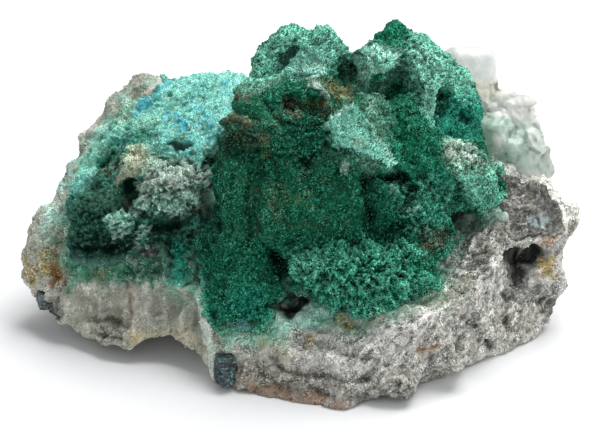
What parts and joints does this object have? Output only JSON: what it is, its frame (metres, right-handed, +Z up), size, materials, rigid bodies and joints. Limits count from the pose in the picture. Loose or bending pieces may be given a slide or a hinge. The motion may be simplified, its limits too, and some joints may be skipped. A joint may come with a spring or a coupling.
{
  "type": "brochantite mineral specimen",
  "caption": "Lump of quartz rock with dark green lobed brochantite, a pale turquoise crust, clear quartz crystals and grey galena grains.",
  "frame": {"origin": "middle of the flat base's bounding box, on the plane the specimen rests on", "axes": "+X along the width to the right of the front view, +Y to the back, +Z up; the front view looks along +Y"},
  "size_m": [0.0712, 0.0442, 0.0373],
  "materials": {
    "host_rock": "matt grey-white granular quartz and feldspar rock with rust stains",
    "brochantite": "velvety dark green aggregate of tiny glassy crystals",
    "green_crust": "matt pale turquoise and dark green granular crust",
    "quartz": "milky clear crystal",
    "galena": "dark grey semi-metallic cleavage faces"
  },
  "bodies": {
    "root": {"host_rock": "host_rock", "brochantite_mass": "brochantite", "brochantite_crust_left": "green_crust", "quartz_crystals": "quartz", "galena_front": "galena", "galena_left": "galena", "galena_right": "galena"}
  },
  "joints": []
}
